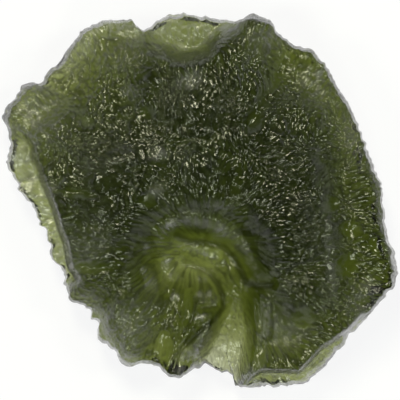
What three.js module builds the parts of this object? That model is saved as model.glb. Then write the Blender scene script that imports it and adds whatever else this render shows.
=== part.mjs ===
// A moldavite: a flat, roughly round piece of natural green glass with an etched, folded face.
// It lies face up on the flat middle of its underside, as one solid piece.
// Millimetres, +Z up, +X along the longer side, origin under the middle of the outline.

import * as THREE from 'three';

// Driving dimensions
const LENGTH = 38.0;              // along X
const WIDTH = 36.0;               // along Y
const MIDDLE_THICKNESS = 9.4;     // glass under the middle of the face
const THINNEST = 1.2;             // glass at the thinnest edge
const REST_SPOT_RADIUS = 6.0;     // the flat spot that the stone lies on
const UNDERSIDE_RISE = 2.0;       // how far the underside curves up from that spot to the rim
const RIM_LEVEL = 0.28;           // where the rim line runs between underside (0) and face (1)
const FACE_ROUNDING = 0.5;        // width of the rounding above the rim, seen from above
const UNDERSIDE_ROUNDING = 0.9;   // width of the rounding below the rim, seen from above
const LUMP_HEIGHT = 0.2;          // soft waviness of both faces
const CELLS = 48;                 // grid cells across each face
const RIM_SHARE = 0.125;          // share of the grid's rings that go to the rounding at the rim

// Glass at the rim, as [direction in degrees anticlockwise from +X, thickness]
const SIDES = [
  [-180, 5.4], [-165, 4.6], [-150, 3.8], [-135, 3.8], [-120, 4.2], [-105, 4.8], [-90, 5.0],
  [-75, 5.2], [-60, 5.8], [-45, 6.4], [-25, 6.0], [-10, 6.4], [0, 6.2], [15, 6.0], [30, 5.4],
  [45, 5.2], [60, 4.8], [75, 5.2], [90, 5.6], [105, 4.0], [120, 2.8], [135, 2.4], [150, 3.0],
  [165, 3.0], [180, 5.4],
];

// The outline from above, clockwise from the left tip, as [x, y] points on one smooth closed curve
const OUTLINE = [
  [-19.0, 8.1], [-17.5, 10.0], [-16.0, 11.3], [-14.9, 11.8], [-12.9, 14.2], [-11.1, 16.4],
  [-8.9, 17.3], [-6.7, 17.2], [-5.0, 16.5], [-4.0, 17.3], [-2.7, 17.9], [0.0, 17.8],
  [3.6, 17.3], [5.1, 17.8], [6.7, 17.1], [8.8, 15.1], [10.7, 14.3], [11.8, 13.1],
  [13.6, 10.3], [15.3, 7.2], [16.4, 4.3], [17.4, 1.2], [18.2, -3.7], [19.0, -7.2],
  [18.7, -8.2], [17.6, -9.6], [14.1, -13.6], [11.9, -15.9], [10.2, -17.5], [8.1, -17.9],
  [4.7, -17.9], [3.4, -17.7], [2.8, -16.6], [0.6, -16.0], [-1.8, -17.0], [-3.1, -16.8],
  [-5.2, -15.8], [-6.8, -16.0], [-8.2, -14.6], [-9.9, -13.1], [-9.7, -11.8], [-10.6, -10.7],
  [-12.4, -9.8], [-13.2, -7.2], [-14.4, -5.0], [-14.8, -2.7], [-15.9, -1.2], [-17.4, 0.8],
  [-18.5, 4.1], [-18.5, 6.7],
];

// Broken sides: to the left of each line, walked from its first point to its last, the face steps
// down to a bevel that starts with the glass `inner` thick and loses `slope` a millimetre
const BEVEL_STEP = 2.2;           // width of the step down to a bevel
const BEVEL_FADE = 1.5;           // how far past its line's ends a bevel fades out
const BEVELS = [
  // left side
  { inner: 2.9, slope: 0.1,
    line: [[-12.0, -7.0], [-12.6, -5.4], [-13.3, -2.9], [-14.0, -0.5], [-15.0, 1.8], [-15.9, 3.9],
      [-16.4, 5.7]] },
  // lower right corner
  { inner: 3.0, slope: 0.2,
    line: [[15.0, -11.4], [13.2, -13.0], [11.6, -14.1], [9.4, -16.4], [5.8, -16.3], [4.5, -17.3]] },
  // right edge
  { inner: 5.4, slope: 0.4,
    line: [[14.6, 8.6], [15.5, 5.7], [16.2, 3.8], [16.9, 1.5], [17.3, -1.5], [17.8, -4.0],
      [18.5, -6.0], [19.6, -8.4]] },
  // scooped window at the top edge
  { inner: 4.1, slope: -0.15,
    line: [[-5.3, 16.4], [-3.9, 14.5], [-2.2, 13.6], [-1.0, 13.6], [0.7, 14.3], [2.1, 15.8],
      [3.8, 17.4]] },
  // upper left lobes
  { inner: 4.4, slope: 0.2,
    line: [[-12.7, 14.1], [-11.9, 15.3], [-10.6, 15.7], [-7.5, 15.6], [-6.2, 15.3]] },
  // bottom left
  { inner: 4.4, slope: 1.0,
    line: [[-6.1, -15.0], [-7.3, -14.6], [-8.2, -13.4], [-8.9, -12.3], [-9.3, -11.0]] },
];

// Floors sunk in the face: half widths and glass along a line, and the width of the wall round it
const SUNK = [
  // hollow that holds the folds
  { half: [3.1, 3.3], glass: [3.9, 3.9], wall: 6.4, line: [[-1.9, -6.2], [1.2, -6.6]] },
  // fan that opens to the lower edge
  { half: [1.2, 1.9, 2.1, 2.4], glass: [4.6, 3.4, 2.1, 1.8], wall: 3.4,
    line: [[3.6, -9.2], [3.2, -12.0], [2.5, -14.7], [1.6, -17.3]] },
];

// Broad places with less or more glass: [x, y, half length, half width, turn in degrees, change]
const PATCHES = [
  [13.8, 0.4, 9.5, 2.2, 95, -1.3],       // band along the right side
  [0.6, 4.2, 9.0, 5.0, 10, 0.3],         // middle
  [8.8, -2.8, 3.4, 3.0, 90, 0.9],        // right of the folds
  [0.0, -6.5, 8.0, 7.0, 0, -1.3],        // all round the folds
  [-3.4, -12.0, 2.6, 3.0, 90, -1.2],     // below the folds
  [-3.4, -14.2, 2.0, 2.2, 90, -1.2],     // lower edge, left of the fan
  [8.6, -13.2, 3.6, 2.4, 20, -1.8],      // lower edge, right of the fan
  [-7.0, 10.0, 3.6, 2.0, 120, -0.8],     // upper slope
  [9.0, 11.5, 4.0, 2.5, 140, -1.6],      // upper right
  [-11.5, 11.5, 4.0, 3.0, 45, -1.0],     // upper left
  [-5.2, -8.0, 2.6, 2.0, 70, -0.8],      // left of the folds
  [6.4, -11.0, 2.6, 1.6, 80, -0.8],      // right of the fan
  [-16.2, 7.4, 3.0, 1.8, 60, -0.5],      // left lobe
];

// Marks in the face: a line of [x, y] points, the half width at its start and end, and how far it
// rises at its start and end; a negative rise is a groove
const MARKS = [
  // outer fold
  { half: [1.0, 1.1], rise: [0.35, 0.45],
    line: [[-3.6, -3.1], [-2.0, -2.2], [-0.8, -2.2], [1.8, -3.0], [2.9, -4.0], [3.9, -5.4]] },
  // main groove between the folds
  { half: [1.0, 1.0], rise: [-0.35, -0.6],
    line: [[-2.2, -3.4], [-1.0, -4.0], [0.7, -4.1], [2.3, -4.5], [3.9, -6.8], [4.4, -7.9],
      [6.8, -8.1]] },
  // inner fold
  { half: [1.0, 1.4], rise: [0.5, 0.3],
    line: [[-1.3, -5.2], [0.1, -5.1], [1.6, -6.0], [2.8, -7.4], [3.7, -9.2]] },
  // inner groove
  { half: [1.0, 1.0], rise: [-0.35, -0.45],
    line: [[1.0, -7.2], [2.2, -9.1], [2.2, -10.3], [0.4, -12.1], [-1.3, -13.8]] },
  // valley along the fan's left edge
  { half: [1.0, 1.0], rise: [-0.4, -0.5], line: [[-0.6, -12.6], [-1.9, -14.4], [-2.6, -16.4]] },
  // ridge between the valley and the fan
  { half: [1.1, 1.1], rise: [0.3, 0.5], line: [[1.0, -11.8], [-0.4, -13.7], [-1.9, -16.9]] },
  // slanting furrow, upper right
  { half: [0.9, 0.9], rise: [-0.35, -0.45], line: [[8.3, 13.5], [6.5, 10.5], [4.7, 7.0]] },
];

/** Smooth step from 0 at `low` to 1 at `high`. */
function ease(value, low, high) {
  return THREE.MathUtils.smoothstep(value, low, high);
}

/** Value at a share 0 to 1 of the way along a row of evenly spaced values. */
function valueAlong(values, share) {
  const place = share * (values.length - 1);
  const first = Math.min(Math.floor(place), values.length - 2);
  return THREE.MathUtils.lerp(values[first], values[first + 1], place - first);
}

/** Glass at the rim in the direction of a place. */
function sideThickness(x, y) {
  const direction = THREE.MathUtils.radToDeg(Math.atan2(y, x));
  const next = Math.max(1, SIDES.findIndex(([degrees]) => degrees >= direction));
  const [low, a] = SIDES[next - 1];
  const [high, b] = SIDES[next];
  return THREE.MathUtils.mapLinear(direction, low, high, a, b);
}

/** Nearest place on a line of points: its distance, the side it is seen from, how far along it is
    and how far past the line's ends the place lies. */
function nearest(x, y, line) {
  let best = { distance: Infinity, side: 1, along: 0, beyond: 0 };
  const last = line.length - 2;
  for (let i = 0; i <= last; i += 1) {
    const [ax, ay] = line[i];
    const dx = line[i + 1][0] - ax;
    const dy = line[i + 1][1] - ay;
    const length = Math.hypot(dx, dy);
    const reach = ((x - ax) * dx + (y - ay) * dy) / length;
    const t = THREE.MathUtils.clamp(reach / length, 0, 1);
    const distance = Math.hypot(x - ax - t * dx, y - ay - t * dy);
    if (distance < best.distance) {
      const side = dx * (y - ay) - dy * (x - ax) > 0 ? 1 : -1;
      const before = i === 0 ? -reach : 0;
      const after = i === last ? reach - length : 0;
      best = { distance, side, along: (i + t) / (last + 1), beyond: Math.max(0, before, after) };
    }
  }
  return best;
}

/** Height of the underside above the table: flat in the middle, then curving up. */
function undersideHeight(x, y) {
  const past = Math.max(0, Math.hypot(x, y) - REST_SPOT_RADIUS) / (LENGTH / 2 - REST_SPOT_RADIUS);
  const height = UNDERSIDE_RISE * past * past * (2 - past);
  return Math.max(0, height + LUMP_HEIGHT * ease(past, 0, 0.3) * lumps(y, -x));
}

/** Soft waviness between about -1 and 1, from three crossing waves. */
function lumps(x, y) {
  return 0.45 * Math.sin(0.95 * x + 0.5 * y + 1.3) + 0.35 * Math.sin(1.25 * y - 0.7 * x)
    + 0.2 * Math.sin(2.1 * x - 1.6 * y + 0.4);
}

/** Share of a broad patch at a place: a bell that falls off over its half length and half width. */
function patchShare(x, y, [centreX, centreY, halfLength, halfWidth, turn]) {
  const c = Math.cos(THREE.MathUtils.degToRad(turn));
  const s = Math.sin(THREE.MathUtils.degToRad(turn));
  const u = ((x - centreX) * c + (y - centreY) * s) / halfLength;
  const v = ((y - centreY) * c - (x - centreX) * s) / halfWidth;
  return Math.exp(-u * u - v * v);
}

/** Thickness of the glass at a place; `out` is 0 in the middle of the outline and 1 on it. */
function glassThickness(x, y, out) {
  let thickness = THREE.MathUtils.lerp(MIDDLE_THICKNESS, sideThickness(x, y), out ** 2.8);
  for (const patch of PATCHES) {
    thickness += patch[5] * patchShare(x, y, patch);
  }
  for (const { half, glass, wall, line } of SUNK) {
    const { distance, along } = nearest(x, y, line);
    const inside = 1 - ease(distance - valueAlong(half, along), -wall / 2, wall / 2);
    const floor = Math.min(thickness, valueAlong(glass, along));
    thickness = THREE.MathUtils.lerp(thickness, floor, inside);
  }
  thickness += LUMP_HEIGHT * lumps(x, y);
  for (const { half, rise, line } of MARKS) {
    const { distance, along } = nearest(x, y, line);
    const reach = distance / valueAlong(half, along);
    thickness += valueAlong(rise, along) * (1 - ease(reach, 0, 1.3));
  }
  for (const { inner, slope, line } of BEVELS) {
    const { distance, side, beyond } = nearest(x, y, line);
    const past = side * Math.sqrt(Math.max(0, distance * distance - beyond * beyond));
    const share = ease(past, -BEVEL_STEP / 2, BEVEL_STEP / 2) * (1 - ease(beyond, 0, BEVEL_FADE));
    const thin = Math.min(thickness, inner - slope * Math.max(0, past));
    thickness = THREE.MathUtils.lerp(thickness, thin, share);
  }
  return Math.max(THINNEST, thickness);
}

/** Outline curve scaled to the length and width and centred on the origin. */
function outlineCurve() {
  const rough = new THREE.CatmullRomCurve3(
    OUTLINE.map(([x, y]) => new THREE.Vector3(x, y, 0)), true, 'catmullrom', 0.5);
  const box = new THREE.Box3().setFromPoints(rough.getSpacedPoints(2000));
  const size = box.getSize(new THREE.Vector3());
  const middle = box.getCenter(new THREE.Vector3());
  const scale = new THREE.Vector3(LENGTH / size.x, WIDTH / size.y, 1);
  const points = rough.points.map((point) => point.clone().sub(middle).multiply(scale));
  const curve = new THREE.CatmullRomCurve3(points, true, 'catmullrom', 0.5);
  curve.arcLengthDivisions = 2000;
  return curve;
}

/** Square grid place as ring and angle: concentric squares become concentric circles. */
function ringAndAngle(u, v) {
  const ring = Math.max(Math.abs(u), Math.abs(v));
  if (ring === 0) {
    return [0, 0];
  }
  if (Math.abs(u) >= Math.abs(v)) {
    return [ring, (Math.PI / 4) * (v / u) + (u < 0 ? Math.PI : 0)];
  }
  return [ring, Math.PI / 2 - (Math.PI / 4) * (u / v) + (v < 0 ? Math.PI : 0)];
}

/** A place on the face or the underside, for a ring 0 to 1 and an angle. */
function surfacePoint(curve, startAngle, ring, angle, isFace) {
  const turn = THREE.MathUtils.euclideanModulo(startAngle - angle, 2 * Math.PI) / (2 * Math.PI);
  const rim = curve.getPointAt(turn);
  const inset = (isFace ? FACE_ROUNDING : UNDERSIDE_ROUNDING) / (LENGTH / 2);
  const round = Math.max(0, ring - (1 - RIM_SHARE)) / RIM_SHARE * (Math.PI / 2);
  const out = round > 0
    ? 1 - inset * (1 - Math.sin(round))
    : (ring / (1 - RIM_SHARE)) * (1 - inset);
  const circle = (LENGTH + WIDTH) / 4;
  const x = out * THREE.MathUtils.lerp(circle * Math.cos(angle), rim.x, out * out);
  const y = out * THREE.MathUtils.lerp(circle * Math.sin(angle), rim.y, out * out);
  const low = undersideHeight(x, y);
  const flat = isFace ? low + glassThickness(x, y, out) : low;
  const rimLow = undersideHeight(rim.x, rim.y);
  const rimHeight = rimLow + RIM_LEVEL * glassThickness(rim.x, rim.y, 1);
  return [x, y, THREE.MathUtils.lerp(rimHeight, flat, Math.cos(round))];
}

/** The whole stone as one closed surface: a face grid and an underside grid that share the rim. */
function stoneGeometry() {
  const curve = outlineCurve();
  const start = curve.getPointAt(0);
  const startAngle = Math.atan2(start.y, start.x);
  const positions = [];
  const triangles = [];
  const faceIndex = [];
  for (const isFace of [true, false]) {
    const index = [];
    for (let i = 0; i <= CELLS; i += 1) {
      for (let j = 0; j <= CELLS; j += 1) {
        const [ring, angle] = ringAndAngle((2 * i) / CELLS - 1, (2 * j) / CELLS - 1);
        const cell = i * (CELLS + 1) + j;
        if (!isFace && ring === 1) {
          index[cell] = faceIndex[cell];
        } else {
          index[cell] = positions.length / 3;
          positions.push(...surfacePoint(curve, startAngle, ring, angle, isFace));
        }
      }
    }
    if (isFace) {
      faceIndex.push(...index);
    }
    for (let i = 0; i < CELLS; i += 1) {
      for (let j = 0; j < CELLS; j += 1) {
        const a = index[i * (CELLS + 1) + j];
        const b = index[(i + 1) * (CELLS + 1) + j];
        const c = index[(i + 1) * (CELLS + 1) + j + 1];
        const d = index[i * (CELLS + 1) + j + 1];
        const sameSign = (i < CELLS / 2) === (j < CELLS / 2);
        const pair = sameSign ? [[a, b, c], [a, c, d]] : [[a, b, d], [b, c, d]];
        for (const [p, q, r] of pair) {
          triangles.push(...(isFace ? [p, q, r] : [p, r, q]));
        }
      }
    }
  }
  const geometry = new THREE.BufferGeometry();
  geometry.setAttribute('position', new THREE.Float32BufferAttribute(positions, 3));
  geometry.setIndex(triangles);
  geometry.computeVertexNormals();
  return geometry;
}

const glass = new THREE.MeshStandardMaterial({ color: 0x4a5a22, roughness: 0.25, metalness: 0 });
const stone = new THREE.Mesh(stoneGeometry(), glass);
stone.name = 'stone';

const moldavite = new THREE.Group();
moldavite.add(stone);

export default moldavite;
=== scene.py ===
"""A moldavite: one flat, roughly round piece of etched natural green glass, lying on its underside.

The stone is one closed surface worked out with numpy: a face grid and an underside grid that meet
along the rim. Lengths in the shape functions are millimetres, and the mesh is in metres. Turns and
directions are degrees anticlockwise from +X, seen from above.
"""

import bpy
import numpy as np
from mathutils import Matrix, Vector


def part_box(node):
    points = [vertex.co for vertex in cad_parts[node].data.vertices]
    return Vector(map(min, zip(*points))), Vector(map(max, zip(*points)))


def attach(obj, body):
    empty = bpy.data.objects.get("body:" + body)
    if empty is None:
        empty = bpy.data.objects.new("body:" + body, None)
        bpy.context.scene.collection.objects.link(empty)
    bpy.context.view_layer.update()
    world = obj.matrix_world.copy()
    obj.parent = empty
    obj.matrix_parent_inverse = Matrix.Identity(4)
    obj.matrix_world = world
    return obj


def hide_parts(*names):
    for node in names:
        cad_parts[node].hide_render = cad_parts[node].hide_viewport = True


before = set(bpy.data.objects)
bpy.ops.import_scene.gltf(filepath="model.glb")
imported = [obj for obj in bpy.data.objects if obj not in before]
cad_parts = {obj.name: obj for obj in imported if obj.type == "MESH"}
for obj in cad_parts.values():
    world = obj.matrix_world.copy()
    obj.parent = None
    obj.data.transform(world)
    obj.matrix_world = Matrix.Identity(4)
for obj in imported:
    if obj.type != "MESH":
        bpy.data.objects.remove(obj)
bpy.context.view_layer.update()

MM = 0.001
STONE_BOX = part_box("stone")
LENGTH = (STONE_BOX[1][0] - STONE_BOX[0][0]) / MM
WIDTH = (STONE_BOX[1][1] - STONE_BOX[0][1]) / MM

# Glass thickness in the middle and at its least. Towards the rim it thins by this power of the
# share of the way out
MIDDLE_THICKNESS = 9.4
THINNEST = 0.9
THICKNESS_FALL = 2.8

# Glass thickness at the rim: (direction, thickness)
SIDES = [
    (-180, 5.4), (-165, 4.6), (-150, 3.8), (-135, 3.8), (-120, 4.2), (-105, 4.8), (-90, 5.0),
    (-75, 5.2), (-60, 5.8), (-45, 6.4), (-25, 6.0), (-10, 6.4), (0, 6.2), (15, 6.0), (30, 5.4),
    (45, 5.2), (60, 4.8), (75, 5.2), (90, 5.6), (105, 4.0), (120, 2.8), (135, 2.4), (150, 3.0),
    (165, 3.0), (180, 5.4),
]

# The underside: its flat spot, how far it rises from there to the rim, its hills by (size, height),
# and the share of the way to the rim over which they set in
REST_SPOT_RADIUS = 6.0
UNDERSIDE_RISE = 2.0
UNDERSIDE_HILLS = ((2.6, 0.2), (0.9, 0.05))
UNDERSIDE_HILLS_START = 0.3

# The rim: its level as a share of the glass there, how wide the face and the underside round over
# to it, and the share of each grid's rings that do so
RIM_LEVEL = 0.28
FACE_ROUNDING = 0.5
UNDERSIDE_ROUNDING = 0.9
RIM_SHARE = 0.12

# Grid cells across the face and the underside, and steps of the outline between two of its points
FACE_CELLS = 280
UNDERSIDE_CELLS = FACE_CELLS // 2
OUTLINE_STEPS = 24

# The outline from above, clockwise from the left tip, on one smooth closed curve
OUTLINE = [
    (-19.0, 8.1), (-17.5, 10.0), (-16.9, 11.1), (-16.0, 11.3), (-15.4, 11.1), (-14.9, 11.8),
    (-13.7, 13.3), (-12.9, 14.2), (-11.7, 15.7), (-11.1, 16.4), (-8.9, 17.3), (-6.7, 17.2),
    (-6.0, 16.6), (-5.0, 16.5), (-4.2, 17.2), (-3.6, 17.5), (-2.7, 17.9), (-1.7, 17.9), (0.0, 17.8),
    (1.7, 17.5), (3.6, 17.3), (5.1, 17.8), (6.0, 17.6), (6.7, 17.1), (7.6, 16.1), (8.8, 15.1),
    (9.7, 14.6), (10.7, 14.3), (11.8, 13.1), (12.9, 11.6), (13.6, 10.3), (14.6, 8.6), (15.3, 7.2),
    (15.8, 5.9), (16.4, 4.3), (17.0, 2.6), (17.4, 1.2), (17.9, -1.6), (18.2, -3.7), (18.6, -5.0),
    (19.0, -7.2), (18.7, -8.2), (18.1, -8.8), (17.6, -9.6), (16.8, -10.6), (16.1, -11.3),
    (14.7, -12.8), (14.1, -13.6), (13.1, -14.8), (11.9, -15.9), (11.1, -16.8), (10.2, -17.5),
    (9.3, -17.8), (8.1, -17.9), (6.7, -18.0), (4.7, -17.9), (3.4, -17.8), (3.4, -17.2),
    (2.8, -16.5), (1.9, -16.5), (0.6, -16.0), (0.0, -16.3), (-1.0, -16.5), (-1.8, -17.0),
    (-3.1, -16.8), (-4.1, -16.1), (-5.2, -15.8), (-6.8, -16.0), (-7.6, -15.5), (-8.2, -14.6),
    (-9.2, -13.8), (-9.9, -13.1), (-9.7, -11.8), (-10.4, -11.4), (-10.6, -10.7), (-11.2, -10.3),
    (-12.4, -9.8), (-13.0, -8.3), (-13.2, -7.2), (-13.8, -6.0), (-14.4, -5.0), (-14.2, -4.4),
    (-14.6, -3.7), (-14.8, -2.7), (-15.4, -2.4), (-15.9, -1.2), (-16.7, 0.0), (-17.4, 0.8),
    (-17.6, 1.6), (-18.2, 2.7), (-18.5, 4.1), (-18.4, 4.9), (-18.5, 6.7),
]

# Broken sides. To the left of each line, walked from first point to last, the face steps down to a
# bevel: (glass at its inner edge, loss per millimetre outwards, width of the step, line)
BEVELS = {
    "left side": (2.9, 0.1, 0.8, [
        (-12.0, -7.0), (-12.4, -6.5), (-12.6, -5.4), (-12.8, -4.1), (-13.3, -2.9), (-13.6, -1.8),
        (-14.0, -0.5), (-14.6, 1.0), (-15.0, 1.8), (-15.4, 3.2), (-15.9, 3.9), (-16.0, 5.1),
        (-16.4, 5.7)]),
    "lower right": (3.0, 0.2, 0.6, [
        (15.0, -11.4), (14.2, -12.3), (13.2, -13.0), (11.6, -14.1), (10.3, -15.5), (9.4, -16.4),
        (8.4, -16.3), (7.2, -16.3), (5.8, -16.3), (4.9, -16.9), (4.5, -17.3)]),
    "right edge": (5.4, 0.4, 1.5, [
        (14.6, 8.6), (15.5, 5.7), (16.2, 3.8), (16.9, 1.5), (17.3, -1.5), (17.8, -4.0),
        (18.5, -6.0), (19.6, -8.4)]),
    "window": (3.9, 0.0, 2.2, [
        (-5.3, 16.4), (-4.6, 15.4), (-3.9, 14.5), (-2.9, 14.0), (-2.2, 13.6), (-1.0, 13.6),
        (0.2, 13.9), (0.7, 14.3), (1.2, 15.0), (2.1, 15.8), (3.3, 16.7), (3.8, 17.4)]),
    "upper left lobes": (4.4, 0.2, 1.6, [
        (-12.7, 14.1), (-11.9, 15.3), (-10.6, 15.7), (-8.9, 15.8), (-7.5, 15.6), (-6.2, 15.3)]),
    "bottom left": (4.4, 1.0, 0.9, [
        (-6.1, -15.0), (-7.3, -14.6), (-8.2, -13.4), (-8.9, -12.3), (-9.3, -11.0)]),
}

# Floors sunk in the face: (half widths along the line, glass along it, width of the wall, line)
SUNK = {
    "folds": ((3.1, 3.3), (3.7, 3.7), 8.0, [(-1.9, -6.2), (1.2, -6.6)]),
    "fan": ((0.9, 1.3, 1.7, 1.9, 2.0, 2.3, 2.4), (4.8, 4.2, 3.4, 2.4, 1.7, 1.3, 1.2), 1.6, [
        (3.6, -9.2), (3.4, -10.6), (3.2, -12.0), (2.9, -13.4), (2.5, -14.7), (2.0, -16.0),
        (1.6, -17.3)]),
}

# Broad places where the glass is thinner or thicker: (x, y, half length, half width, turn of the
# length from +X in degrees, change of thickness)
PATCHES = {
    "right band": (13.8, 0.4, 9.5, 2.2, 95, -1.3),
    "thick middle": (0.6, 4.2, 9.0, 5.0, 10, 0.3),
    "thick right": (8.8, -2.8, 3.4, 3.0, 90, 0.9),
    "round the folds": (0.0, -6.5, 8.0, 7.0, 0, -1.3),
    "below the folds": (-3.4, -12.0, 2.6, 3.0, 90, -1.2),
    "low green": (-3.4, -14.2, 2.0, 2.2, 90, -1.2),
    "lower right": (8.6, -13.2, 3.6, 2.4, 20, -1.8),
    "upper slope": (-7.0, 10.0, 3.6, 2.0, 120, -0.8),
    "upper right": (9.0, 11.5, 4.0, 2.5, 140, -1.6),
    "upper left": (-11.5, 11.5, 4.0, 3.0, 45, -1.0),
    "pale ridge": (-1.0, -15.0, 1.8, 0.9, 60, -1.4),
    "left of the folds": (-5.2, -8.0, 2.6, 2.0, 70, -0.8),
    "right of the fan": (6.4, -11.0, 2.6, 1.6, 80, -0.8),
    "left lobe": (-16.2, 7.4, 3.0, 1.8, 60, -0.5),
}

# Marks in the face, each carried along a line: (profile, half width at start and end, height at
# start and end, how far it is polished, how dark painted shade makes it, line)
MARKS = {
    "outer ring": ("groove", (0.7, 0.8), (-0.2, -0.25), 0.0, 0.12, [
        (-2.4, -1.4), (-1.0, -1.0), (0.4, -1.0), (1.6, -1.2), (2.9, -2.0), (3.8, -3.0), (4.5, -4.0),
        (5.0, -5.2), (5.5, -6.4)]),
    "outer fold": ("ridge", (1.0, 1.1), (0.3, 0.4), 0.0, 0.0, [
        (-3.6, -3.1), (-2.9, -2.4), (-2.0, -2.2), (-0.8, -2.2), (0.4, -2.4), (1.8, -3.0),
        (2.9, -4.0), (3.9, -5.4)]),
    "smooth slope": ("dish", (0.8, 0.9), (-0.2, -0.5), 0.4, 0.1, [
        (1.6, -3.9), (3.0, -4.6), (4.0, -5.6), (4.8, -6.6), (5.6, -7.3), (6.5, -7.6)]),
    "main groove": ("groove", (0.8, 0.8), (-0.2, -0.45), 0.5, 0.85, [
        (-2.2, -3.4), (-1.0, -4.0), (0.7, -4.1), (2.3, -4.5), (3.2, -5.5), (3.9, -6.8), (4.4, -7.9),
        (5.5, -8.2), (6.8, -8.1)]),
    "inner fold": ("ridge", (1.0, 1.4), (0.5, 0.3), 0.0, 0.0, [
        (-1.3, -5.2), (-0.6, -5.0), (0.1, -5.1), (0.9, -5.5), (1.6, -6.0), (2.2, -6.7), (2.8, -7.4),
        (3.3, -8.3), (3.7, -9.2)]),
    "inner hollow": ("dish", (0.9, 0.7), (-0.3, -0.3), 0.5, 0.6, [
        (-1.4, -5.9), (-0.4, -6.3), (0.5, -6.7), (1.2, -7.3)]),
    "inner groove": ("groove", (0.6, 0.6), (-0.3, -0.4), 0.4, 0.85, [
        (1.0, -7.2), (1.7, -8.0), (2.2, -9.1), (2.2, -10.3), (1.4, -11.4), (0.4, -12.1),
        (-0.5, -13.0), (-1.3, -13.8)]),
    "upright groove": ("dish", (0.5, 0.5), (-0.3, -0.3), 0.4, 0.2, [
        (-3.8, -6.1), (-3.5, -7.0), (-3.3, -7.9), (-3.2, -8.8)]),
    "dull ridge": ("ridge", (0.5, 0.5), (0.25, 0.3), 0.8, 0.0, [
        (-1.0, -8.9), (-1.1, -9.9), (-1.2, -10.9), (-1.6, -12.0)]),
    "slanting groove": ("groove", (0.4, 0.4), (-0.2, -0.2), 0.3, 0.7, [
        (-0.5, -9.3), (-0.5, -10.1), (-0.6, -10.9), (-1.0, -11.8), (-1.6, -12.8)]),
    "short pit": ("dish", (0.4, 0.4), (-0.3, -0.3), 0.5, 0.5, [(0.1, -10.3), (1.7, -10.2)]),
    "valley": ("groove", (0.7, 0.7), (-0.3, -0.3), 0.3, 0.5, [
        (-0.6, -12.6), (-1.2, -13.5), (-1.9, -14.4), (-2.3, -15.3), (-2.6, -16.4)]),
    "pale ridge": ("ridge", (0.7, 0.9), (0.3, 0.5), 0.0, 0.0, [
        (1.0, -11.8), (0.2, -12.7), (-0.4, -13.7), (-1.1, -14.7), (-1.6, -15.9), (-1.9, -16.9)]),
    "fan right crest": ("ridge", (0.6, 0.6), (0.3, 0.4), 0.0, 0.0, [
        (5.9, -9.2), (6.4, -10.1), (6.4, -11.3), (6.4, -12.9)]),
    "fan right edge": ("groove", (0.5, 0.6), (-0.2, -0.2), 0.8, 0.3, [
        (4.6, -8.6), (5.4, -9.6), (5.6, -10.6), (5.5, -11.8)]),
    "slanting furrow": ("dish", (0.7, 0.7), (-0.3, -0.4), 0.3, 0.0, [
        (8.3, 13.5), (7.4, 12.2), (6.5, 10.5), (5.6, 8.8), (4.7, 7.0)]),
    "lobe crease": ("groove", (0.4, 0.4), (-0.4, -0.4), 0.3, 0.2, [(-8.8, 17.2), (-8.9, 15.9)]),
}

# Round bumps: (x, y, radius), each standing up by BUMP_RISE of its radius
BUMP_RISE = 0.3
BUMPS = [
    (-3.0, -5.9, 0.7), (-1.8, -5.6, 0.4), (-2.8, -2.4, 0.7), (-4.6, -7.8, 0.8), (-2.5, -7.3, 0.5),
    (-2.4, -9.2, 0.5), (-5.0, -4.5, 0.4), (-5.3, -6.7, 0.4), (-3.7, -4.0, 0.5), (-0.1, -7.4, 0.3),
    (0.5, -7.5, 0.3), (0.0, -8.9, 0.4), (0.9, -8.9, 0.4), (-0.3, -11.2, 0.4), (0.2, -11.1, 0.4),
    (1.8, -3.2, 0.8),
]

# Shallow polished pits: (x, y, half length, half width, turn in degrees, depth)
PITS = [
    (14.3, -2.8, 1.1, 0.8, -15, 0.3), (13.9, -6.2, 1.1, 1.0, 60, 0.3),
    (9.9, -11.2, 1.1, 0.9, 30, 0.3), (-10.4, -6.4, 1.6, 0.6, 0, 0.3),
    (-11.5, 0.6, 1.7, 0.5, -5, 0.3), (-5.1, -0.1, 0.9, 0.7, 20, 0.3), (-5.0, 8.3, 0.7, 0.6, 0, 0.3),
    (5.3, 7.4, 0.9, 0.8, 60, 0.3), (-10.6, 7.4, 0.6, 0.5, 0, 0.6), (-13.4, 11.8, 0.4, 0.3, 0, 0.4),
    (-3.4, -13.9, 0.8, 1.4, 0, 0.2), (16.6, -4.2, 0.6, 0.6, 0, 0.15),
    (5.5, -14.9, 0.8, 1.0, 0, 0.4), (12.4, -0.5, 0.9, 0.6, 20, 0.2), (-6.2, 3.0, 0.5, 0.3, 30, 0.2),
]

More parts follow.
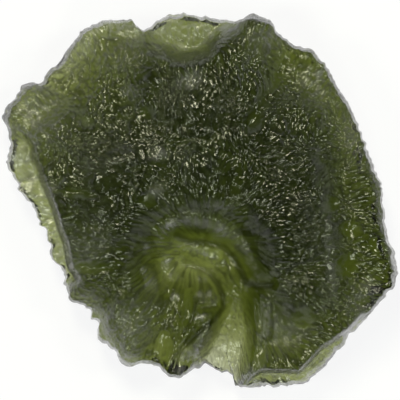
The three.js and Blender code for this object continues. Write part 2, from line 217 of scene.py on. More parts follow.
# Places with a frosted skin, pale in reflected light: (x, y, half length, half width, turn in
# degrees, amount)
FROSTED = [
    (-3.0, -2.5, 0.6, 0.5, 0, 0.8), (1.9, -3.2, 1.2, 0.45, -20, 0.8),
    (-3.9, -3.8, 0.8, 0.4, 80, 0.6), (0.2, -5.3, 1.6, 0.6, -20, 1.0),
    (-2.8, -5.8, 0.6, 0.6, 0, 0.6), (-1.8, -5.7, 0.35, 0.4, 0, 0.6),
    (-4.6, -7.6, 1.0, 0.5, 75, 0.7), (-2.4, -7.3, 0.5, 0.4, 80, 0.5),
    (-2.4, -9.2, 0.5, 0.4, 90, 0.5), (-5.1, -4.7, 0.5, 0.5, 0, 0.5), (0.0, -7.6, 0.7, 0.3, 0, 0.5),
    (0.6, -9.3, 1.1, 0.5, -10, 0.7), (0.0, -11.0, 0.8, 0.4, -10, 0.4),
    (0.4, -12.8, 1.0, 0.4, 45, 0.8), (-0.9, -1.2, 1.0, 0.4, 0, 0.4),
    (1.7, -0.5, 1.2, 0.4, -10, 0.5), (5.5, -13.2, 0.5, 0.4, 0, 0.8),
    (6.4, -11.6, 2.2, 0.8, 90, 0.7), (-1.3, -15.2, 2.1, 0.8, 60, 1.0),
    (-1.0, 11.4, 1.2, 0.8, 20, 0.8), (-6.6, 10.3, 0.8, 0.6, 0, 0.6),
    (11.4, 11.9, 0.6, 0.4, 40, 1.0), (-14.4, 0.9, 1.0, 0.7, 60, 0.5),
    (-3.9, 4.3, 0.9, 0.6, 20, 0.6), (-4.1, 0.9, 0.9, 0.6, 30, 0.7), (-11.1, 7.5, 0.6, 0.5, 0, 0.6),
    (-11.5, 14.6, 2.6, 1.4, 40, 0.5), (-16.6, 9.6, 2.4, 1.4, 60, 0.5),
    (-6.0, -13.5, 1.4, 0.8, 30, 0.5), (9.0, 15.5, 1.5, 0.8, -40, 0.5),
    (-7.0, -12.2, 2.8, 2.4, 30, 0.7), (-15.4, 7.6, 2.8, 2.4, 60, 0.6),
    (5.8, 15.2, 2.0, 1.4, 60, 0.5), (7.6, -12.4, 2.8, 2.0, 20, 0.5),
    (14.6, 6.0, 3.4, 1.4, 110, 0.35), (-7.4, 14.0, 2.4, 1.6, 0, 0.35),
    (15.6, -9.8, 2.0, 1.6, 50, 0.4), (5.2, -16.2, 1.2, 0.9, 90, 0.8),
    (12.4, -5.6, 4.2, 0.5, 95, 0.4), (-4.4, -7.9, 1.6, 1.0, 75, 0.5),
    (-10.6, -4.6, 2.6, 1.8, 60, 0.35), (-2.6, -4.4, 1.4, 0.8, 40, 0.5),
    (11.0, 10.6, 2.4, 1.6, 130, 0.35), (-3.4, -3.4, 1.2, 0.6, 45, 0.7),
    (-1.0, -2.1, 1.4, 0.6, 0, 0.7), (1.6, -2.6, 1.4, 0.6, -25, 0.7),
    (3.8, -4.4, 1.6, 0.6, -55, 0.6), (5.2, -6.2, 1.2, 0.5, -70, 0.6),
]

# How much of the amounts in FROSTED shows, and how far the frost of a bump reaches past its radius
FROST_SHARE = 0.62
BUMP_FROST_REACH = 1.1

# How far bevels, pits and the fan are polished, how frosted a bevel is, and over what distance past
# the ends of its line a bevel fades away
BEVEL_POLISH = 0.5
BEVEL_FROST = 0.6
BEVEL_FADE = 1.2
PIT_POLISH = 0.8
FAN_POLISH = 0.5

# Where the polish and the painted shade of a mark fade out, as shares of its half width, the polish
# of a pit, as shares of its oval, and that of the fan, in millimetres from its line
MARK_POLISH_EDGE = (0.7, 1.3)
MARK_SHADE_EDGE = (0.2, 0.75)
PIT_POLISH_EDGE = (0.8, 1.25)
FAN_POLISH_EDGE = (0.7, 2.2)

# Coarse relief over the whole face: radial ridges, and hills by (size, height). At a distance of
# one pitch there are 6 ridges round the circle, as 2 pi is about 6. The first distance is added to
# each, so that none is nought, and the shift makes the ridges of each doubling differ
RIDGE_PITCH = 1.2
RIDGE_LENGTH = 2.8
RIDGE_HEIGHT = 0.13
RIDGES_AT_PITCH = 6.0
RIDGE_FIRST_DISTANCE = 0.3
RIDGE_SHIFT = 7.3
HILLS = ((3.2, 0.28), (1.4, 0.10), (0.8, 0.06), (0.5, 0.03))
BEVEL_HILLS = ((0.8, 0.12), (2.0, 0.2))

# Roughness of the outline: (size, height)
RIM_HILLS = ((1.3, 0.14), (0.5, 0.12), (0.26, 0.08))

# Dark patches painted on the rounding at the rim: they are hills by (size, weight). How dark they
# are, the heights of those hills between which they set in, and where they begin and are full, as
# shares of the rounding that are left to the rim
RIM_DARK_PATCHES = ((0.9, 1.0), (0.35, 0.7))
RIM_DARKNESS = 0.8
RIM_DARK_START = (-0.4, 0.4)
RIM_DARK_EDGE = (0.8, 0.4)

# Roughness of the sides: how far the width of the roundings varies and in how many steps round the
# stone, how deep the sides are hollowed, and the size of the hollows
ROUNDING_CHANGE = 0.45
ROUNDING_STEPS = 100
SIDE_HOLLOW = 0.28
SIDE_HILL = 0.9

# Etched furrows: the place that they run out from, their pitch, length and depth, and how far they
# sway sideways over which distance. On such a stone they are about 0.3 mm apart and finer, and they
# are drawn as coarse as they need to show
FURROW_CENTRE = (0.4, -3.4)
FURROW_PITCH = 0.36
FURROW_LENGTH = 0.6
FURROW_DEPTH = 0.13
FURROW_SWAY = 1.4
FURROW_SWAY_SIZE = 3.0

# The rest of the skin: how strongly the underside is etched, the size of the grain and its height
# as a share of the furrows, and the size of the pale patches
UNDERSIDE_ETCHED = 0.5
GRAIN_SIZE = 0.25
GRAIN_HEIGHT = 0.15
PATCH_SIZE = 2.2

# The studio, in metres: half the width of the floor, the camera's height, and the width of its view
# at a level just under the top of the stone
FLOOR_HALF = 1.5
CAMERA_HEIGHT = 0.6
VIEW_WIDTH = 38.0 * MM
VIEW_LEVEL = 8.0 * MM

# Soft lights: their size and distance in metres, and (name, direction, elevation in degrees, watts,
# colour)
SOFTBOX_SIZE = 0.17
SOFTBOX_DISTANCE = 0.7
SOFTBOXES = [
    ("main_softbox", 105, 58, 1.75, "#FFFFDC"),
    ("softbox_15", 15, 52, 0.85, "#F8FFE6"),
    ("softbox_195", 195, 52, 0.85, "#F8FFE6"),
    ("softbox_285", 285, 52, 0.85, "#F8FFE6"),
]

# Steps across the lattice of random heights that hills are made from
LATTICE = 256


def smooth_step(value, low, high):
    """0 below low, 1 above high, and an ease 3t^2 - 2t^3 between them."""
    t = np.clip((value - low) / (high - low), 0.0, 1.0)
    return t * t * (3.0 - 2.0 * t)


def mix(a, b, share):
    """The value that lies the given share of the way from a to b."""
    return a + (b - a) * share


def hills(x, y, seed, around=LATTICE):
    """Random heights from -1 to 1 on a unit lattice, joined by the ease 6t^5 - 15t^4 + 10t^3. The
    lattice comes round again after `around` steps of x."""
    lattice = np.random.default_rng(seed).uniform(-1.0, 1.0, (LATTICE, LATTICE))
    i = np.floor(x).astype(int)
    j = np.floor(y).astype(int)
    s = x - i
    t = y - j
    s = s * s * s * (s * (6.0 * s - 15.0) + 10.0)
    t = t * t * t * (t * (6.0 * t - 15.0) + 10.0)
    a = np.mod(i, around) % LATTICE
    b = np.mod(i + 1, around) % LATTICE
    near = mix(lattice[a, j % LATTICE], lattice[b, j % LATTICE], s)
    far = mix(lattice[a, (j + 1) % LATTICE], lattice[b, (j + 1) % LATTICE], s)
    return mix(near, far, t)


def layered_hills(x, y, layers, seed):
    """Hills of several sizes added up: `layers` gives each one's size and height, and they take the
    seeds from `seed` on."""
    return sum(height * hills(x / size, y / size, seed + k)
               for k, (size, height) in enumerate(layers))


def radial_ridges(x, y, seed):
    """Ridges that run out from FURROW_CENTRE, -1 to 1: hills over the direction, times a count of
    ridges round the circle, and the distance. The count doubles each time the distance does, and
    two neighbouring counts are blended between one doubling and the next."""
    dx, dy = x - FURROW_CENTRE[0], y - FURROW_CENTRE[1]
    distance = np.hypot(dx, dy) + RIDGE_FIRST_DISTANCE
    turn = np.arctan2(dy, dx) / (2 * np.pi) + 0.5
    doublings = np.log2(distance / RIDGE_PITCH)
    whole = np.floor(doublings)
    heights = []
    for level in (whole, whole + 1):
        count = np.maximum(1, np.round(RIDGES_AT_PITCH * 2.0 ** level)).astype(int)
        out = distance / RIDGE_LENGTH + RIDGE_SHIFT * level
        heights.append(hills(turn * count, out, seed, count))
    return mix(heights[0], heights[1], doublings - whole)


def nearest(x, y, line):
    """Where each place lies by a line of points: distance, side (1 is left of it), share of it
    walked, and how far the place is past the line's ends."""
    best = np.full(x.shape, np.inf)
    side = np.ones(x.shape)
    along = np.zeros(x.shape)
    beyond = np.zeros(x.shape)
    for k, ((ax, ay), (bx, by)) in enumerate(zip(line, line[1:])):
        dx, dy = bx - ax, by - ay
        length = np.hypot(dx, dy)
        reach = ((x - ax) * dx + (y - ay) * dy) / length
        t = np.clip(reach / length, 0.0, 1.0)
        distance = np.hypot(x - ax - t * dx, y - ay - t * dy)
        closer = distance < best
        best = np.where(closer, distance, best)
        left = dx * (y - ay) - dy * (x - ax) > 0
        side = np.where(closer, np.where(left, 1.0, -1.0), side)
        along = np.where(closer, (k + t) / (len(line) - 1), along)
        over = np.zeros(x.shape)
        if k == 0:
            over = np.maximum(over, -reach)
        if k == len(line) - 2:
            over = np.maximum(over, reach - length)
        beyond = np.where(closer, over, beyond)
    return best, side, along, beyond


def oval(x, y, centre_x, centre_y, half_length, half_width, turn):
    """Distance from the centre of a turned oval as a share of its half length and half width."""
    c, s = np.cos(np.radians(turn)), np.sin(np.radians(turn))
    u = ((x - centre_x) * c + (y - centre_y) * s) / half_length
    v = ((y - centre_y) * c - (x - centre_x) * s) / half_width
    return np.hypot(u, v)


def profile(kind, reach):
    """Height across a mark, 1 on its line, by the distance as a share of its half width: a sharp
    groove (1 - r)^1.5, a round ridge 1 - r^2, or a soft dish that eases out to 1.6 half widths."""
    if kind == "groove":
        return np.maximum(0.0, 1.0 - reach) ** 1.5
    if kind == "ridge":
        return np.maximum(0.0, 1.0 - reach * reach)
    return 1.0 - smooth_step(reach, 0.0, 1.6)


def outline_curve():
    """Smooth closed curve through OUTLINE, made rough by hills and scaled to the frame, as places
    and share of its length. Between two points it is the cubic that leaves each of them along half
    the step between that point's neighbours."""
    p1 = np.array(OUTLINE)
    p0, p2, p3 = np.roll(p1, 1, 0), np.roll(p1, -1, 0), np.roll(p1, -2, 0)
    t = np.linspace(0.0, 1.0, OUTLINE_STEPS, endpoint=False)[None, :, None]
    p0, p1, p2, p3 = (p[:, None, :] for p in (p0, p1, p2, p3))
    curve = 0.5 * (2 * p1 + (p2 - p0) * t + (2 * p0 - 5 * p1 + 4 * p2 - p3) * t ** 2
                   + (3 * p1 - p0 - 3 * p2 + p3) * t ** 3)
    curve = curve.reshape(-1, 2)
    rough = layered_hills(*curve.T, RIM_HILLS, 20)
    curve = curve + curve / np.hypot(*curve.T)[:, None] * rough[:, None]
    low, high = curve.min(0), curve.max(0)
    curve = (curve - (low + high) / 2) * np.array([LENGTH, WIDTH]) / (high - low)
    curve = np.vstack([curve, curve[:1]])
    walked = np.concatenate([[0.0], np.cumsum(np.hypot(*np.diff(curve, axis=0).T))])
    return curve, walked / walked[-1]


CURVE, WALKED = outline_curve()
RIM_LENGTH = np.hypot(*np.diff(CURVE, axis=0).T).sum()
START_ANGLE = np.arctan2(CURVE[0, 1], CURVE[0, 0])


def share_of_turn(angle):
    """Share of a whole turn, clockwise from the left tip to an angle in radians."""
    return np.mod(START_ANGLE - angle, 2 * np.pi) / (2 * np.pi)


def rim_place(angle):
    """Place on the outline for an angle: the share of its length that is walked there is the share
    of the turn."""
    turn = share_of_turn(angle)
    return np.interp(turn, WALKED, CURVE[:, 0]), np.interp(turn, WALKED, CURVE[:, 1])


def underside_height(x, y):
    """Flat out to the resting spot's radius, then rising to the rim by p^2 (2 - p) of the share of
    the way, with hills past the spot."""
    past = np.maximum(0.0, np.hypot(x, y) - REST_SPOT_RADIUS) / (LENGTH / 2 - REST_SPOT_RADIUS)
    rise = UNDERSIDE_RISE * past * past * (2.0 - past)
    rough = smooth_step(past, 0.0, UNDERSIDE_HILLS_START) * layered_hills(x, y, UNDERSIDE_HILLS, 5)
    return np.maximum(0.0, rise + rough)


def bevel_share(x, y, step, line):
    """How far a place belongs to a bevel, 0 to 1, and its distance past the bevel's inner edge."""
    distance, side, _, beyond = nearest(x, y, line)
    past = side * np.sqrt(np.maximum(0.0, distance ** 2 - beyond ** 2))
    fade = 1.0 - smooth_step(beyond, 0.0, BEVEL_FADE)
    return smooth_step(past, -step / 2, step / 2) * fade, np.maximum(0.0, past)


def face_thickness(x, y, out):
    """Glass thickness: a plateau that thins towards the rim by a power of the share of the way out,
    changed by broad patches that fade as a bell curve, sunk floors, relief, marks, bumps and pits,
    and stepped down at the bevels."""
    directions, sides = np.array(SIDES).T
    side = np.interp(np.degrees(np.arctan2(y, x)), directions, sides)
    thickness = mix(MIDDLE_THICKNESS, side, out ** THICKNESS_FALL)
    for *shape, change in PATCHES.values():
        thickness = thickness + change * np.exp(-oval(x, y, *shape) ** 2)
    for halves, floors, wall, line in SUNK.values():
        distance, _, along, _ = nearest(x, y, line)
        steps = np.linspace(0.0, 1.0, len(halves))
        edge = distance - np.interp(along, steps, halves)
        floor = np.interp(along, steps, floors)
        inside = 1.0 - smooth_step(edge, -wall / 2, wall / 2)
        thickness = mix(thickness, np.minimum(thickness, floor), inside)
    thickness = thickness + layered_hills(x, y, HILLS, 1)
    thickness = thickness + RIDGE_HEIGHT * radial_ridges(x, y, 9)
    for kind, halves, heights, _, _, line in MARKS.values():
        distance, _, along, _ = nearest(x, y, line)
        reach = distance / mix(*halves, along)
        thickness = thickness + mix(*heights, along) * profile(kind, reach)
    for px, py, radius in BUMPS:
        bump = profile("ridge", np.hypot(x - px, y - py) / radius)
        thickness = thickness + BUMP_RISE * radius * bump
    for *shape, depth in PITS:
        thickness = thickness - depth * profile("dish", oval(x, y, *shape))
    for inner, slope, step, line in BEVELS.values():
        share, past = bevel_share(x, y, step, line)
        thin = inner - slope * past + layered_hills(x, y, BEVEL_HILLS, 31)
        thickness = mix(thickness, np.minimum(thickness, thin), share)
    return np.maximum(THINNEST, thickness)


def face_skin(x, y):
    """How strongly the face is etched by fine furrows, how dark painted shade makes it in its
    grooves and dishes, and how frosted it is, each 0 to 1."""
    etched = np.ones(x.shape)
    darkened = np.zeros(x.shape)
    frosted = np.zeros(x.shape)
    for _, halves, _, polish, darkening, line in MARKS.values():
        distance, _, along, _ = nearest(x, y, line)
        reach = distance / mix(*halves, along)
        etched = etched * (1.0 - polish * (1.0 - smooth_step(reach, *MARK_POLISH_EDGE)))
        # Painted shade: the grooves and dishes of the marks are darkened
        darkened = np.maximum(darkened, darkening * (1.0 - smooth_step(reach, *MARK_SHADE_EDGE)))
    for *shape, _ in PITS:
        inside = 1.0 - smooth_step(oval(x, y, *shape), *PIT_POLISH_EDGE)
        etched = etched * (1.0 - PIT_POLISH * inside)
    for _, _, step, line in BEVELS.values():
        share, _ = bevel_share(x, y, step, line)
        etched = etched * (1.0 - BEVEL_POLISH * share)
        frosted = np.maximum(frosted, BEVEL_FROST * share)
    for px, py, radius in BUMPS:
        reach = np.hypot(x - px, y - py) / radius / BUMP_FROST_REACH
        frosted = np.maximum(frosted, profile("ridge", reach))
    for *shape, amount in FROSTED:
        patch = profile("dish", oval(x, y, *shape))
        frosted = np.maximum(frosted, FROST_SHARE * amount * patch)
    *_, fan_line = SUNK["fan"]
    fan_distance, *_ = nearest(x, y, fan_line)
    etched = etched * (1.0 - FAN_POLISH * (1.0 - smooth_step(fan_distance, *FAN_POLISH_EDGE)))
    return np.stack([etched, darkened, frosted], axis=-1)


def rim_darkening(face, skin):
    """The face's skin with dark patches painted on the rounding at the rim, from hills of two
    sizes, except on the frosted bevels."""
    ring, _ = ring_and_angle(FACE_CELLS)
    spots = layered_hills(face[..., 0], face[..., 1], RIM_DARK_PATCHES, 41)
    begins, full = (1 - share * RIM_SHARE for share in RIM_DARK_EDGE)
    # Dark patches painted on the rounding at the rim, none on frosted places
    darkening = RIM_DARKNESS * smooth_step(ring, begins, full) * smooth_step(spots, *RIM_DARK_START)
    etched, darkened, frosted = np.moveaxis(skin, -1, 0)
    return np.stack([etched, np.maximum(darkened, darkening * (1.0 - frosted)), frosted], axis=-1)


def ring_and_angle(cells):
    """A square grid from -1 to 1 as ring (the larger of |u| and |v|) and angle round the square."""
    line = np.linspace(-1.0, 1.0, cells + 1)
    u, v = np.meshgrid(line, line, indexing="ij")
    ring = np.maximum(np.abs(u), np.abs(v))
    wide = np.abs(u) >= np.abs(v)
    safe_u = np.where(u == 0, 1.0, u)
    safe_v = np.where(v == 0, 1.0, v)
    flat_angle = np.pi / 4 * v / safe_u + np.where(u < 0, np.pi, 0.0)
    steep_angle = np.pi / 2 - np.pi / 4 * u / safe_v + np.where(v < 0, np.pi, 0.0)
    return ring, np.where(wide, flat_angle, steep_angle)


def surface(cells, is_face):
    """Places of one face: rings spread from a circle to the outline, then round over to the rim.

    Inside the last rings the height is the face or the underside. Over the last rings it falls as
    the cosine of a quarter turn to the rim height, while the ring moves out as its sine. The width
    of that rounding varies round the stone, and hills of two sizes pull the rounding in between its
    two ends, by 0 to SIDE_HOLLOW.
    """
    ring, angle = ring_and_angle(cells)
    rim_x, rim_y = rim_place(angle)
    walk = share_of_turn(angle)
    width = FACE_ROUNDING if is_face else UNDERSIDE_ROUNDING
    change = hills(walk * ROUNDING_STEPS, np.zeros(walk.shape), 51, ROUNDING_STEPS)
    inset = width * (1 + ROUNDING_CHANGE * change) / (LENGTH / 2)
    turn = np.maximum(0.0, ring - (1 - RIM_SHARE)) / RIM_SHARE * np.pi / 2
    flat = ring / (1 - RIM_SHARE) * (1 - inset)
    out = np.where(turn > 0, 1 - inset * (1 - np.sin(turn)), flat)
    circle = (LENGTH + WIDTH) / 4
    x = out * mix(circle * np.cos(angle), rim_x, out * out)
    y = out * mix(circle * np.sin(angle), rim_y, out * out)
    low = underside_height(x, y)
    height = low + face_thickness(x, y, out) if is_face else low
    side = face_thickness(rim_x, rim_y, np.ones_like(rim_x))
    rim_height = underside_height(rim_x, rim_y) + RIM_LEVEL * side
    z = mix(rim_height, height, np.cos(turn))
    around = round(RIM_LENGTH / SIDE_HILL)
    rough = hills(walk * around, z / SIDE_HILL, 52, around)
    rough = rough + 0.5 * hills(2 * walk * around, 2 * z / SIDE_HILL, 53, 2 * around)
    hollow = 0.5 + rough / 3
    pull = 1 - SIDE_HOLLOW / (LENGTH / 2) * hollow * np.sin(2 * turn)
    return np.stack([x * pull, y * pull, z], axis=-1)


def grid_cells(index):
    """Triangles of a square grid of vertex numbers, each cell split towards the grid's middle."""
    a, b, c, d = index[:-1, :-1], index[1:, :-1], index[1:, 1:], index[:-1, 1:]
    half = a.shape[0] // 2
    row = np.arange(a.shape[0]) < half
    same = (row[:, None] == row[None, :])[..., None]
    first = np.where(same, np.stack([a, b, c], -1), np.stack([a, b, d], -1))
    second = np.where(same, np.stack([a, c, d], -1), np.stack([b, c, d], -1))
    return np.concatenate([first.reshape(-1, 3), second.reshape(-1, 3)])


def rim_numbers(index):
    """Vertex numbers round the edge of a square grid, as a loop."""
    return np.concatenate([index[:-1, 0], index[-1, :-1], index[:0:-1, -1], index[0, :0:-1]])


def stone_surface():
    """The face and the underside as one closed set of triangles that share the rim's places, and
    for each place how strongly it is etched, how dark it is painted (painted shade in grooves and
    dishes, dark patches at the rim) and how frosted it is.

    The underside's grid has half the cells, so each of its outer cells takes two of the face's rim
    edges: the cells inside that ring are a plain grid, and the ring itself is a strip of fans.
    """
    face = surface(FACE_CELLS, True)
    under = surface(UNDERSIDE_CELLS, False)
    face_index = np.arange(face.shape[0] ** 2).reshape(face.shape[:2])
    inner = under[1:-1, 1:-1]
    under_index = face_index.size + np.arange(inner.shape[0] ** 2).reshape(inner.shape[:2])
    rim = rim_numbers(face_index)
    loop = rim_numbers(under_index)
    side = UNDERSIDE_CELLS - 2
    k = np.arange(side)
    strip = []
    for corner in range(4):
        start = corner * 2 * UNDERSIDE_CELLS
        rim_a, rim_b, rim_c = (rim[(start + 2 * k + step) % rim.size] for step in (2, 3, 4))
        in_a, in_b = (loop[(corner * side + k + step) % loop.size] for step in (0, 1))
        strip += [np.stack([rim_a, in_a, rim_b], -1), np.stack([rim_b, in_a, in_b], -1),
                  np.stack([rim_b, in_b, rim_c], -1)]
        fan = rim[(start + np.arange(-2, 3)) % rim.size]
        hub = np.full(4, loop[corner * side])
        strip.append(np.stack([fan[:-1], hub, fan[1:]], -1))
    underside = grid_cells(under_index)[:, ::-1]
    triangles = np.concatenate([grid_cells(face_index), underside] + strip)
    places = np.concatenate([face.reshape(-1, 3), inner.reshape(-1, 3)])
    skin = rim_darkening(face, face_skin(face[..., 0], face[..., 1])).reshape(-1, 3)
    under_skin = np.broadcast_to([UNDERSIDE_ETCHED, 0.0, 0.0], (under_index.size, 3))
    return places * MM, triangles, np.concatenate([skin, under_skin])


def make_mesh(name, places, triangles):
    """Puts whole arrays of places and triangles into a new smooth-shaded mesh object."""
    mesh = bpy.data.meshes.new(name)
    mesh.vertices.add(len(places))
    mesh.vertices.foreach_set("co", places.astype(np.float32).ravel())
    mesh.loops.add(triangles.size)
    mesh.loops.foreach_set("vertex_index", triangles.astype(np.int32).ravel())
    mesh.polygons.add(len(triangles))
    mesh.polygons.foreach_set("loop_start", np.arange(0, triangles.size, 3, dtype=np.int32))
    mesh.polygons.foreach_set("use_smooth", np.ones(len(triangles), dtype=bool))
    mesh.update(calc_edges=True)
    mesh.validate()
    piece = bpy.data.objects.new(name, mesh)
    bpy.context.scene.collection.objects.link(piece)
    return piece


def add_value(piece, name, values):
    """Gives each vertex of a piece a number that its material can read by name."""
    attribute = piece.data.attributes.new(name, "FLOAT", "POINT")
    attribute.data.foreach_set("value", values.astype(np.float32))


def linear(hex_code):
    """An sRGB hex value as linear RGB with alpha 1."""
    srgb = np.array([int(hex_code[k:k + 2], 16) for k in (1, 3, 5)]) / 255.0
    rgb = np.where(srgb <= 0.04045, srgb / 12.92, ((srgb + 0.055) / 1.055) ** 2.4)
    return (*rgb.tolist(), 1.0)


def add_node(tree, kind, inputs, **settings):
    """Adds a node: `settings` are its properties, and `inputs` gives each named or numbered socket
    a value or a link. A Mix node's sockets 0, 2 and 3 are its factor and two numbers, and 6 and 7
    are its two colours."""
    node = tree.nodes.new(kind)
    for key, value in settings.items():
        setattr(node, key, value)
    for key, value in inputs.items():
        if isinstance(value, bpy.types.NodeSocket):
            tree.links.new(value, node.inputs[key])
        else:
            node.inputs[key].default_value = value
    return node


def new_tree(name):
    """A new material and its empty node tree."""
    material = bpy.data.materials.new(name)
    material.use_nodes = True
    material.node_tree.nodes.clear()
    return material, material.node_tree


def furrow_height(tree, place):
    """Height of the etched furrows, 0 to about 0.6: short cups with sharp crests that run out from
    FURROW_CENTRE, swayed by a soft noise.

    The direction from the centre, times a count of cups round the circle, and the distance out are
    the three coordinates of scattered points, and the height is the squared distance to the nearest
    point. The count doubles each time the distance does, so that the cups keep their width, and two
    neighbouring counts are blended between one doubling and the next.
    """
    drift = add_node(tree, "ShaderNodeTexNoise", {
        "Vector": place, "Scale": 1 / (FURROW_SWAY_SIZE * MM), "Detail": 0.0}).outputs["Color"]
    sway = add_node(tree, "ShaderNodeVectorMath", {0: drift, 1: (0.5, 0.5, 0.5)},
                    operation="SUBTRACT").outputs[0]
    swayed = add_node(tree, "ShaderNodeVectorMath", {
        0: sway, 1: (FURROW_SWAY * MM,) * 3, 2: place}, operation="MULTIPLY_ADD").outputs[0]
    centre = (FURROW_CENTRE[0] * MM, FURROW_CENTRE[1] * MM, 0.0)
    away = add_node(tree, "ShaderNodeVectorMath", {0: swayed, 1: centre},
                    operation="SUBTRACT").outputs[0]
    level = add_node(tree, "ShaderNodeVectorMath", {0: away, 1: (1.0, 1.0, 0.0)},
                     operation="MULTIPLY").outputs[0]
    distance = add_node(tree, "ShaderNodeVectorMath", {0: level},
                        operation="LENGTH").outputs["Value"]
    way = add_node(tree, "ShaderNodeVectorMath", {0: level}, operation="NORMALIZE").outputs[0]
    doublings = add_node(tree, "ShaderNodeMath", {0: distance, 1: 2.0},
                         operation="LOGARITHM").outputs[0]
    whole = add_node(tree, "ShaderNodeMath", {0: doublings}, operation="FLOOR").outputs[0]
    blend = add_node(tree, "ShaderNodeMath", {0: doublings}, operation="FRACT").outputs[0]
    drop = add_node(tree, "ShaderNodeSeparateXYZ", {0: away}).outputs["Z"]
    reach = add_node(tree, "ShaderNodeMath", {0: drop, 1: -1.0, 2: distance},
                     operation="MULTIPLY_ADD").outputs[0]
    heights = []
    for step in (0.0, 1.0):
        power = add_node(tree, "ShaderNodeMath", {0: whole, 1: step}, operation="ADD").outputs[0]
        circle = add_node(tree, "ShaderNodeMath", {0: 2.0, 1: power}, operation="POWER").outputs[0]
        count = add_node(tree, "ShaderNodeMath", {0: circle, 1: 1 / (FURROW_PITCH * MM)},
                         operation="MULTIPLY").outputs[0]
        round_circle = add_node(tree, "ShaderNodeVectorMath", {0: way, "Scale": count},
                                operation="SCALE").outputs[0]
        out = add_node(tree, "ShaderNodeMath", {0: reach, 1: 1 / (FURROW_LENGTH * MM), 2: power},
                       operation="MULTIPLY_ADD").outputs[0]
        lift = add_node(tree, "ShaderNodeCombineXYZ", {"Z": out}).outputs[0]
        spot = add_node(tree, "ShaderNodeVectorMath", {0: round_circle, 1: lift},
                        operation="ADD").outputs[0]
        cup = add_node(tree, "ShaderNodeTexVoronoi", {
            "Vector": spot, "Scale": 1.0}).outputs["Distance"]
        heights.append(add_node(tree, "ShaderNodeMath", {0: cup, 1: cup},
                                operation="MULTIPLY").outputs[0])
    return add_node(tree, "ShaderNodeMix", {0: blend, 2: heights[0], 3: heights[1]}).outputs[0]


def natural_green_glass():
    """Moldavite, a natural glass melted by an impact and etched in the ground.

    The eye sees bottle green where the glass is thick, straw green where it is thin, and pale
    glints from the fine furrows of its etched skin. Crests and broken sides are frosted, which
    gives a dull white sheen. Painted shade darkens the colour at the crests of the furrows and in
    the grooves and dishes, and dark patches are painted at the rim.
    """
    material, tree = new_tree("green_natural_glass")
    place = add_node(tree, "ShaderNodeTexCoord", {}).outputs["Object"]
    etched, darkened, frosted = (
        add_node(tree, "ShaderNodeAttribute", {}, attribute_name=name).outputs["Fac"]
        for name in ("etched", "darkened", "frosted"))

    # The relief: furrows with a fine grain over them, and none where the glass is polished
    furrows = furrow_height(tree, place)
    grain = add_node(tree, "ShaderNodeTexNoise", {
        "Vector": place, "Scale": 1 / (GRAIN_SIZE * MM), "Detail": 1.0}).outputs["Fac"]
    rough = add_node(tree, "ShaderNodeMath", {0: grain, 1: GRAIN_HEIGHT, 2: furrows},
                     operation="MULTIPLY_ADD").outputs[0]
    height = add_node(tree, "ShaderNodeMath", {0: rough, 1: etched},
                      operation="MULTIPLY").outputs[0]
    bump = add_node(tree, "ShaderNodeBump", {
        "Strength": 1.0, "Distance": FURROW_DEPTH * MM, "Height": height}).outputs["Normal"]

    # The colour is painted shade: clear at the bottom of the furrows, darker at their crests, where
    # the steep sides turn light away, dark in the grooves and dishes, and in dark patches at the
    # rim
    # Painted shade on the furrows: the colour falls from 1.0 at their bottoms to 0.2 at their
    # crests
    shade = add_node(tree, "ShaderNodeMapRange", {
        "Value": height, "From Min": 0.05, "From Max": 0.5, "To Min": 1.0, "To Max": 0.2})
    # Painted shade in the grooves and dishes, and the dark patches at the rim, in dark olive
    skin = add_node(tree, "ShaderNodeMix", {
        0: darkened, 6: shade.outputs["Result"], 7: linear("#1E2410")}, data_type="RGBA").outputs[2]

    # The frost: a coat over the frosted places and, faintly, over scattered patches of the etched
    # skin, both strongest at the crests of the furrows
    patches = add_node(tree, "ShaderNodeTexNoise", {
        "Vector": place, "Scale": 1 / (PATCH_SIZE * MM), "Detail": 2.0}).outputs["Fac"]
    pale = add_node(tree, "ShaderNodeMapRange", {
        "Value": patches, "From Min": 0.55, "From Max": 0.75, "To Max": 0.04}).outputs["Result"]
    etched_pale = add_node(tree, "ShaderNodeMath", {0: pale, 1: etched},
                           operation="MULTIPLY").outputs[0]
    paled = add_node(tree, "ShaderNodeMath", {0: frosted, 1: etched_pale},
                     operation="ADD", use_clamp=True).outputs[0]
    crest = add_node(tree, "ShaderNodeMapRange", {
        "Value": furrows, "From Min": 0.08, "From Max": 0.35, "To Min": 0.2}).outputs["Result"]
    frost = add_node(tree, "ShaderNodeMath", {0: paled, 1: crest},
                     operation="MULTIPLY").outputs[0]

    # Moldavite's IOR is 1.48 to 1.50. The coat's is far above that of glass, so that it sends back
    # as much light as a white weathered skin does. A millimetre of the glass lets through 66% of
    # red light, 69% of green and 47% of blue
    glass = add_node(tree, "ShaderNodeBsdfPrincipled", {
        "Base Color": skin, "Roughness": 0.2, "IOR": 1.49, "Transmission Weight": 1.0,
        "Coat Weight": frost, "Coat IOR": 3.0, "Coat Roughness": 0.5, "Normal": bump})
    depth = add_node(tree, "ShaderNodeVolumeAbsorption", {
        "Color": linear("#CED497"), "Density": 1100.0})
    add_node(tree, "ShaderNodeOutputMaterial", {
        "Surface": glass.outputs["BSDF"], "Volume": depth.outputs["Volume"]})
    return material


def lit_sheet():
    """A matt white sheet lit from below, so that light comes up through the glass."""
    material, tree = new_tree("lit_sheet")
    sheet = add_node(tree, "ShaderNodeBsdfPrincipled", {
        "Base Color": linear("#808080"), "Roughness": 0.9, "Specular IOR Level": 0.0,
        "Emission Color": linear("#FDFDFF"), "Emission Strength": 0.85})
    add_node(tree, "ShaderNodeOutputMaterial", {"Surface": sheet.outputs["BSDF"]})
    return material


def add_floor():
    """A large flat square at the level that the stone lies on."""
    corners = np.array([(-1, -1, 0), (1, -1, 0), (1, 1, 0), (-1, 1, 0)], dtype=float)
    floor = make_mesh("floor", corners * FLOOR_HALF, np.array([(0, 1, 2), (0, 2, 3)]))
    floor.data.materials.append(lit_sheet())


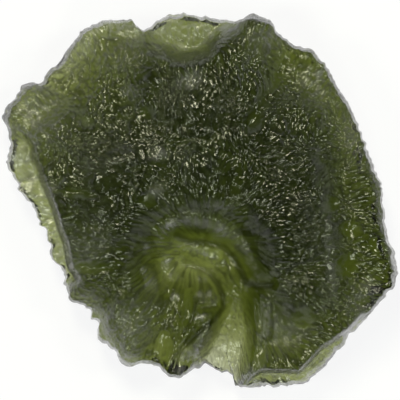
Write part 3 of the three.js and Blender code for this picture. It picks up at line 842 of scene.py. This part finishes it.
def add_world():
    """Room light: white near the horizon, fading to a dim grey overhead."""
    world = bpy.data.worlds.new("studio")
    world.use_nodes = True
    tree = world.node_tree
    tree.nodes.clear()
    way = add_node(tree, "ShaderNodeTexCoord", {}).outputs["Generated"]
    height = add_node(tree, "ShaderNodeSeparateXYZ", {0: way}).outputs["Z"]
    share = add_node(tree, "ShaderNodeMapRange", {
        "Value": height, "From Min": 0.1, "From Max": 0.5, "To Min": 0.9, "To Max": 0.03})
    back = add_node(tree, "ShaderNodeBackground", {
        "Color": linear("#FFFFFF"), "Strength": share.outputs["Result"]})
    add_node(tree, "ShaderNodeOutputWorld", {"Surface": back.outputs["Background"]})
    bpy.context.scene.world = world


def add_softbox(name, direction, elevation, power, colour):
    """A square soft light that faces the stone from a direction and an elevation."""
    light = bpy.data.lights.new(name, "AREA")
    light.shape = "SQUARE"
    light.size = SOFTBOX_SIZE
    light.energy = power
    light.color = linear(colour)[:3]
    lamp = bpy.data.objects.new(name, light)
    bpy.context.scene.collection.objects.link(lamp)
    a, e = np.radians([direction, elevation])
    way = Vector((np.cos(e) * np.cos(a), np.cos(e) * np.sin(a), np.sin(e)))
    lamp.location = way * SOFTBOX_DISTANCE
    lamp.rotation_euler = way.to_track_quat("Z", "Y").to_euler()


def add_camera():
    """A long lens straight above the stone, with the photograph's framing."""
    camera = bpy.data.cameras.new("camera")
    camera.sensor_width = 36.0
    camera.lens = camera.sensor_width * (CAMERA_HEIGHT - VIEW_LEVEL) / VIEW_WIDTH
    camera.clip_start = 0.01
    camera.clip_end = 20.0
    eye = bpy.data.objects.new("camera", camera)
    bpy.context.scene.collection.objects.link(eye)
    eye.location = (0.0, 0.0, CAMERA_HEIGHT)
    bpy.context.scene.camera = eye


places, triangles, skin = stone_surface()
stone = make_mesh("moldavite", places, triangles)
for column, name in enumerate(("etched", "darkened", "frosted")):
    add_value(stone, name, skin[:, column])
stone.data.materials.append(natural_green_glass())
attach(stone, "root")
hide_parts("stone")

add_floor()
add_world()
for softbox in SOFTBOXES:
    add_softbox(*softbox)
add_camera()
bpy.context.scene.view_settings.view_transform = "Standard"
